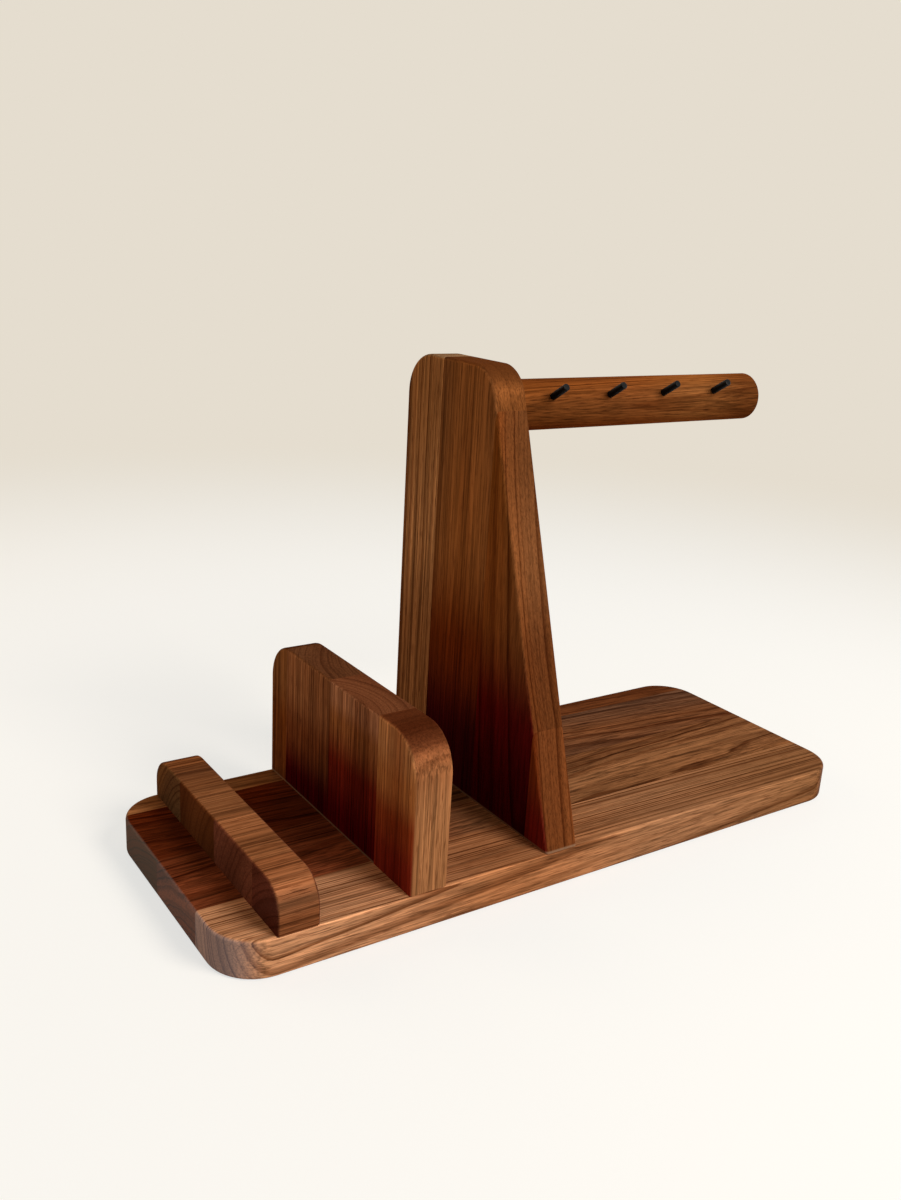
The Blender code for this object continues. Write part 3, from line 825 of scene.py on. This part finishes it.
divider = {
    "grain": "Z",
    "backRadius": 0.021,
    "frontRadius": 0.021,
    "cornerSteps": 14,
    "easing": 0.0016,
    # the three rear staves darken a little towards the base along the grain, a mild painted shade
    "staves": [
        {
            "slot": "walnut_striped", "seed": 9.0, "angle": 4, "pith": 90,
            "ringWidth": 5.0, "wander": 0.35, "waveLength": 220, "lineStrength": 0.42, "contrast": 0.75,
            "along": ((0.06, (166, 111, 70)), (0.092, (152, 94, 57))),
            "faceLightAndShade": ((0.03, (133, 45, 28)), (0.05, (152, 67, 34)), (0.07, (196, 124, 70)),
                          (0.088, (200, 136, 87))),
            # the dull and deep bands behind the front edge are painted shade for the left face, and
            # darken the right face too
            "bands": ((-18, "plain"), (-14, "plain"), (-8, "dull"), (0, "deep"), (8, "dull"),
                      (16, "plain")),
            "endTint": (0.4, 0.3, 0.27),
        },
        {
            "slot": "walnut_plain", "seed": 10.0, "angle": -80, "pith": 45,
            "ringWidth": 3.4, "wander": 0.5, "waveLength": 200, "lineStrength": 0.7, "contrast": 0.96,
            "along": ((0.03, (149, 99, 66)), (0.092, (173, 115, 77))),
            "faceLightAndShade": ((0.028, (88, 8, 9)), (0.055, (117, 36, 20)), (0.08, (154, 95, 55)),
                          (0.092, (174, 118, 85))),
            "bands": ((-14, "dull"), (0, "plain"), (14, "dull")),
            "endTint": (0.47, 0.39, 0.36), "footHighlight": 0.0015,
        },
        {
            "slot": "walnut_red", "seed": 11.0, "angle": 68, "pith": 80,
            "ringWidth": 2.4, "wander": 0.5, "waveLength": 200, "lineStrength": 0.7, "contrast": 0.96,
            "along": ((0.03, (132, 88, 61)), (0.092, (154, 102, 71))),
            "faceLightAndShade": ((0.028, (77, 6, 10)), (0.055, (121, 68, 39)), (0.08, (148, 96, 63))),
            "bands": ((-20, "plain"), (0, "dull"), (18, "plain")),
            "endTint": (0.45, 0.42, 0.36), "footHighlight": 0.0015,
        },
        {
            "slot": "walnut_light", "seed": 12.0, "angle": 68, "pith": 80,
            "ringWidth": 3.4, "wander": 0.4, "waveLength": 200, "lineStrength": 0.6, "contrast": 0.96,
            "along": ((0.03, (107, 69, 42)), (0.092, (124, 80, 49))),
            "faceLightAndShade": ((0.028, (113, 62, 29)), (0.055, (116, 63, 28)), (0.08, (131, 83, 48))),
            "bands": ((-14, "plain"), (0, "warm"), (14, "grey")),
            "endTint": (0.34, 0.26, 0.2), "footHighlight": 0.0015,
        },
    ],
}


# Tall upright, whose front edge slants back

upright = {
    "grain": "Z",
    "topDepth": 0.077,
    "backRadius": 0.022,
    "frontRadius": 0.018,
    "cornerSteps": 14,
    "easing": 0.0018,
    # the two rear staves darken a little towards the base along the grain, a mild painted shade
    "staves": [
        {
            "slot": "walnut_striped", "seed": 13.0, "angle": 80, "pith": 90,
            "ringWidth": 3.4, "wander": 0.4, "waveLength": 200, "lineStrength": 0.8, "contrast": 0.5,
            "along": ((0.06, (114, 62, 30)),),
            "faceLightAndShade": ((0.03, (136, 48, 37)), (0.062, (152, 87, 45))),
            "bands": ((-12, "light"), (-2, "plain"), (7, "plain"), (11, "umber")),
            "footHighlight": 0.0015,
        },
        {
            "slot": "walnut_plain", "seed": 14.0, "angle": 76, "pith": 90, "lean": (0.0, 0.03),
            "ringWidth": 3.4, "wander": 0.5, "waveLength": 200, "lineStrength": 0.85, "contrast": 0.5,
            "along": ((0.11, (107, 56, 25)), (0.16, (132, 78, 41)), (0.215, (105, 59, 28))),
            "faceLightAndShade": ((0.035, (69, 6, 11)), (0.075, (89, 16, 15)), (0.13, (126, 75, 39)),
                          (0.22, (124, 75, 36))),
            "bands": ((-14, "grey"), (-2, "grey"), (8, "plain"), (14, "warm")),
            "footHighlight": 0.0015,
        },
        {
            "slot": "walnut_red", "seed": 15.0, "angle": 85, "pith": 60,
            "ringWidth": 5.0, "wander": 0.8, "waveLength": 220, "lineStrength": 0.3, "contrast": 0.72,
            "along": ((0.05, (102, 63, 34)), (0.242, (116, 72, 39))),
            "faceLightAndShade": ((0.05, (58, 12, 16)), (0.1, (100, 46, 18)), (0.16, (135, 86, 49)),
                          (0.24, (126, 81, 47))),
            "bands": ((-16, "dull"), (-4, "warm"), (8, "warm"), (16, "dull")),
            "footHighlight": 0.0015,
        },
        {
            "slot": "walnut_light", "seed": 16.0, "angle": 8, "pith": 90,
            "ringWidth": 5.0, "wander": 0.5, "waveLength": 240, "lineStrength": 0.9, "contrast": 0.96,
            "along": ((0.05, (121, 77, 44)), (0.24, (137, 87, 50))),
            "faceLightAndShade": ((0.1, (137, 89, 54)), (0.16, (161, 110, 70)), (0.24, (141, 93, 55))),
            "bands": ((-18, "plain"), (-14, "light"), (-10, "plain"), (6, "plain"), (12, "light"),
                      (17, "dull")),
            "endTint": (1.1, 1.6, 2.4), "footHighlight": 0.0015,
        },
    ],
}


# Hook bar and pegs

bar = {
    "easing": 0.001,
    "segments": 96,
    "cut": {
        "slot": "walnut_plain", "seed": 17.0, "angle": 4, "pith": 55, "lean": (0.035, 0.01),
        "ringWidth": 3.0, "wander": 0.7, "waveLength": 110, "lineStrength": 0.6, "contrast": 0.75,
        "along": ((0.03, (115, 66, 30)), (0.09, (130, 76, 37)), (0.145, (146, 92, 48)),
                  (0.185, (117, 68, 32))),
        "bands": ((-14, "dull"), (-2, "warm"), (10, "plain")),
    },
}


def makeBar():
    low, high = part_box("hook_bar")
    rootX = boxOf(*nodesOf("upright"))[1].x
    length = high.x - rootX + trimSpare
    shape = roundStick((high.z - low.z) / 2, length, bar["segments"])
    easeEdges(shape, bar["easing"])
    middle = Vector((high.x - length / 2, (low.y + high.y) / 2, (low.z + high.z) / 2))
    place = Matrix.Translation(middle) @ Matrix.Rotation(math.pi / 2, 4, "Y")
    bmesh.ops.transform(shape, matrix=place, verts=shape.verts)
    trim(shape, (rootX, 0, 0), (-1, 0, 0))
    bmesh.ops.recalc_face_normals(shape, faces=shape.faces)
    markGrain(shape, "X")
    material = walnutMaterial("barWalnut", (low, high), "X", bar["cut"])
    finishPiece("hookBar", shape, material, "hook_bar")
    print("bar: one turned stick")


pegs = {
    "slot": "black_steel",
    "tilt": 31.0,
    "chamfer": 0.0005,
    "chamferSteps": 3,
    "segments": 40,
    "colour": shade(9, 9, 10),
    "cloudColour": shade(16, 15, 16),
    "rimWearAndHighlightColour": shade(70, 68, 66),
    "cloudSize": (0.25,) * 3,
    "gritSize": (2.2,) * 3,
    "roughness": (0.40, 0.56),
    "gloss": 0.08,
    "bump": (0.25, 0.00005),
}


def blackMaterial():
    material, tree, shader = newMaterial("pegBlack")
    here = ownMillimetres(tree)
    grit = noiseNode(tree, here, pegs["gritSize"], detail=3.0)
    cloud = noiseNode(tree, here, pegs["cloudSize"])
    # the lighter grey on the rims is wear and a painted highlight
    rimWearAndHighlight = mathNode(tree, "MULTIPLY", attributeNode(tree, "arris"), rangeNode(tree, cloud, 0.4, 0.65))
    colour = mixNode(tree, rangeNode(tree, cloud, 0.3, 0.7), pegs["colour"], pegs["cloudColour"])
    setInput(tree, shader.inputs["Base Color"], mixNode(tree, rimWearAndHighlight, colour, pegs["rimWearAndHighlightColour"]))
    setInput(tree, shader.inputs["Roughness"], rangeNode(tree, grit, 0.3, 0.7, *pegs["roughness"]))
    shader.inputs["Specular IOR Level"].default_value = pegs["gloss"]
    addBump(tree, shader, grit, *pegs["bump"])
    return material


def makePegs():
    material = blackMaterial()
    tilt = math.radians(pegs["tilt"])
    names = sorted(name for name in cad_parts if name.startswith("hook_peg_"))
    for number, name in enumerate(names, start=1):
        low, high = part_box(name)
        radius = (high.x - low.x) / 2
        # the box of a tilted round stick gives its length
        length = (high.z - low.z - 2 * radius * math.cos(tilt)) / math.sin(tilt)
        shape = roundStick(radius, length, pegs["segments"])
        easeEdges(shape, pegs["chamfer"], pegs["chamferSteps"])
        place = Matrix.Translation((low + high) / 2) @ Matrix.Rotation(math.pi / 2 - tilt, 4, "X")
        bmesh.ops.transform(shape, matrix=place, verts=shape.verts)
        markGrain(shape, "Z")
        finishPiece(f"peg{number}", shape, material, name, drilled=False)
    print("pegs:", len(names))


# Screws and dowels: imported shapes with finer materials

fixings = {
    "zinc": shade(196, 198, 196),
    "zincCloudy": shade(164, 166, 160),
    "zincCloudSize": (0.6,) * 3,
    "zincGritSize": (5.0,) * 3,
    "zincRoughness": (0.26, 0.42),
    "zincBump": (0.2, 0.00003),
    "beech": shade(214, 176, 130),
    "beechFleck": shade(168, 120, 76),
    "beechFleckSize": (0.35, 2.6, 2.6),
    "beechGrainSize": (0.03, 0.8, 0.8),
    "beechRoughness": (0.60, 0.75),
    "beechBump": (0.3, 0.00005),
}


def zincMaterial():
    material, tree, shader = newMaterial("zincPlate")
    here = ownMillimetres(tree)
    cloud = noiseNode(tree, here, fixings["zincCloudSize"], detail=3.0)
    grit = noiseNode(tree, here, fixings["zincGritSize"])
    clouded = mixNode(tree, rangeNode(tree, cloud, 0.35, 0.65), fixings["zinc"], fixings["zincCloudy"])
    roughness = rangeNode(tree, cloud, 0.3, 0.7, *fixings["zincRoughness"])
    setInput(tree, shader.inputs["Base Color"], clouded)
    setInput(tree, shader.inputs["Roughness"], roughness)
    shader.inputs["Metallic"].default_value = 1.0
    addBump(tree, shader, grit, *fixings["zincBump"])
    return material


def beechMaterial():
    material, tree, shader = newMaterial("bareBeech")
    here = ownMillimetres(tree)
    fleck = noiseNode(tree, here, fixings["beechFleckSize"])
    grain = noiseNode(tree, here, fixings["beechGrainSize"])
    darker = rangeNode(tree, grain, 0.3, 0.7, 0.0, 0.5)
    toned = mixNode(tree, darker, fixings["beech"], fixings["beechFleck"])
    toned = mixNode(tree, rangeNode(tree, fleck, 0.58, 0.72), toned, fixings["beechFleck"])
    roughness = rangeNode(tree, fleck, 0.3, 0.7, *fixings["beechRoughness"])
    setInput(tree, shader.inputs["Base Color"], toned)
    setInput(tree, shader.inputs["Roughness"], roughness)
    addBump(tree, shader, grain, *fixings["beechBump"])
    return material


def finishFixings():
    zinc, beech = zincMaterial(), beechMaterial()
    count = 0
    for name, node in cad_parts.items():
        if "_screw_" in name or "_dowel_" in name:
            node.material_slots[0].material = zinc if "_screw_" in name else beech
            count += 1
    print("fixings:", count)


makeBase()
makeStandingBoard("rail", rail)
makeStandingBoard("divider", divider)
makeStandingBoard("upright", upright)
makeBar()
makePegs()
finishFixings()
for drill in drills:
    bpy.data.objects.remove(drill)


# Studio: pale floor, soft light, camera at the photograph's angle

studio = {
    "floorRadius": 9.0,
    "floorSegments": 96,
    "floorColour": shade(168, 159, 147),
    "floorRoughness": 0.6,
    "floorGloss": 0.2,
    "floorGlow": 0.65,
    "glowTint": (0.96, 1.0, 1.01, 1.0),
    "floorFade": (0.35, 1.2),  # from this far out to this far the floor turns into the backdrop
    "backdropColour": shade(229, 221, 207),
    "ambient": 0.22,
    "ambientColour": (1.0, 0.84, 0.64, 1.0),
    "keyPower": 23.0,
    "keyFrom": (0.50, -1.15, 1.10),
    "keySize": 0.8,
    "keyColour": (1.0, 1.0, 1.0),
    "bouncePower": 3.0,
    "bounceFrom": (-0.70, 0.75, 0.60),
    "bounceSize": 0.9,
    "bounceColour": (1.0, 0.82, 0.62),
    "lampsAim": (0, 0, 0.06),
}


def areaLight(name):
    light = bpy.data.lights.new(name, "AREA")
    light.shape = "DISK"
    light.energy = studio[name + "Power"]
    light.size = studio[name + "Size"]
    light.color = studio[name + "Colour"]
    lamp = addToScene(name, light)
    lamp.location = studio[name + "From"]
    aim = Vector(studio["lampsAim"]) - lamp.location
    lamp.rotation_euler = aim.to_track_quat("-Z", "Y").to_euler()


def seenDirectly(tree):
    # 1 for what the camera sees, straight or in a gloss, and 0 for the light that falls on the object
    path = tree.nodes.new("ShaderNodeLightPath")
    seen = mathNode(tree, "MAXIMUM", path.outputs["Is Camera Ray"], path.outputs["Is Glossy Ray"])
    return mathNode(tree, "MAXIMUM", seen, path.outputs["Is Transmission Ray"])


def emissionNode(tree, colour, strength=None):
    node = tree.nodes.new("ShaderNodeEmission")
    node.inputs["Color"].default_value = colour
    setInput(tree, node.inputs["Strength"], strength)
    return node.outputs["Emission"]


def blendNode(tree, factor, first, second):
    node = tree.nodes.new("ShaderNodeMixShader")
    for socket, value in zip(node.inputs, (factor, first, second)):
        setInput(tree, socket, value)
    return node.outputs["Shader"]


def makeFloor():
    shape = bmesh.new()
    bmesh.ops.create_circle(shape, cap_ends=True, segments=studio["floorSegments"],
                            radius=studio["floorRadius"])
    floor = addShape("floor", shape)
    material, tree, shader = newMaterial("paleFloor")
    shader.inputs["Base Color"].default_value = studio["floorColour"]
    shader.inputs["Roughness"].default_value = studio["floorRoughness"]
    shader.inputs["Specular IOR Level"].default_value = studio["floorGloss"]
    # where the camera looks it is nearly white and keeps a soft shadow, and it fades into the backdrop
    far = rangeNode(tree, vectorNode(tree, "LENGTH", ownPlace(tree)), *studio["floorFade"])
    seen = seenDirectly(tree)
    near = tree.nodes.new("ShaderNodeAddShader")
    setInput(tree, near.inputs[0], shader.outputs["BSDF"])
    glow = mathNode(tree, "MULTIPLY", seen, studio["floorGlow"])
    setInput(tree, near.inputs[1], emissionNode(tree, studio["glowTint"], glow))
    backdrop = emissionNode(tree, studio["backdropColour"])
    surface = blendNode(tree, mathNode(tree, "MULTIPLY", far, seen), near.outputs["Shader"], backdrop)
    setInput(tree, tree.nodes["Material Output"].inputs["Surface"], surface)
    floor.data.materials.append(material)


def makeWorld():
    world = bpy.data.worlds.new("studio")
    bpy.context.scene.world = world
    world.use_nodes = True
    tree = world.node_tree
    tree.nodes.clear()
    ambient = tree.nodes.new("ShaderNodeBackground")
    ambient.inputs["Color"].default_value = studio["ambientColour"]
    ambient.inputs["Strength"].default_value = studio["ambient"]
    backdrop = tree.nodes.new("ShaderNodeBackground")
    backdrop.inputs["Color"].default_value = studio["backdropColour"]
    output = tree.nodes.new("ShaderNodeOutputWorld")
    blend = blendNode(tree, seenDirectly(tree), ambient.outputs[0], backdrop.outputs[0])
    setInput(tree, output.inputs["Surface"], blend)


view = {
    "place": (-0.36458, -0.46928, 0.31557),
    "azimuth": 0.6000,
    "downward": 0.3077,
    "roll": 0.0565,
    "lens": 34.449,
    "sensorHeight": 36.0,
    "nearest": 0.01,
}


def makeCamera():
    azimuth, downward, roll = view["azimuth"], view["downward"], view["roll"]
    forward = Vector((
        math.sin(azimuth) * math.cos(downward),
        math.cos(azimuth) * math.cos(downward),
        -math.sin(downward),
    ))
    level = Vector((math.cos(azimuth), -math.sin(azimuth), 0))
    above = level.cross(forward)
    right = math.cos(roll) * level + math.sin(roll) * above
    up = math.cos(roll) * above - math.sin(roll) * level
    camera = bpy.data.cameras.new("camera")
    camera.sensor_fit = "VERTICAL"
    camera.sensor_height = view["sensorHeight"]
    camera.lens = view["lens"]
    camera.clip_start = view["nearest"]
    holder = addToScene("camera", camera)
    turn = Matrix((right, up, -forward)).transposed().to_4x4()
    holder.matrix_world = Matrix.Translation(view["place"]) @ turn
    bpy.context.scene.camera = holder


makeFloor()
makeWorld()
areaLight("key")
areaLight("bounce")
makeCamera()
bpy.context.scene.view_settings.view_transform = "Standard"
print("studio: floor, lights and camera")
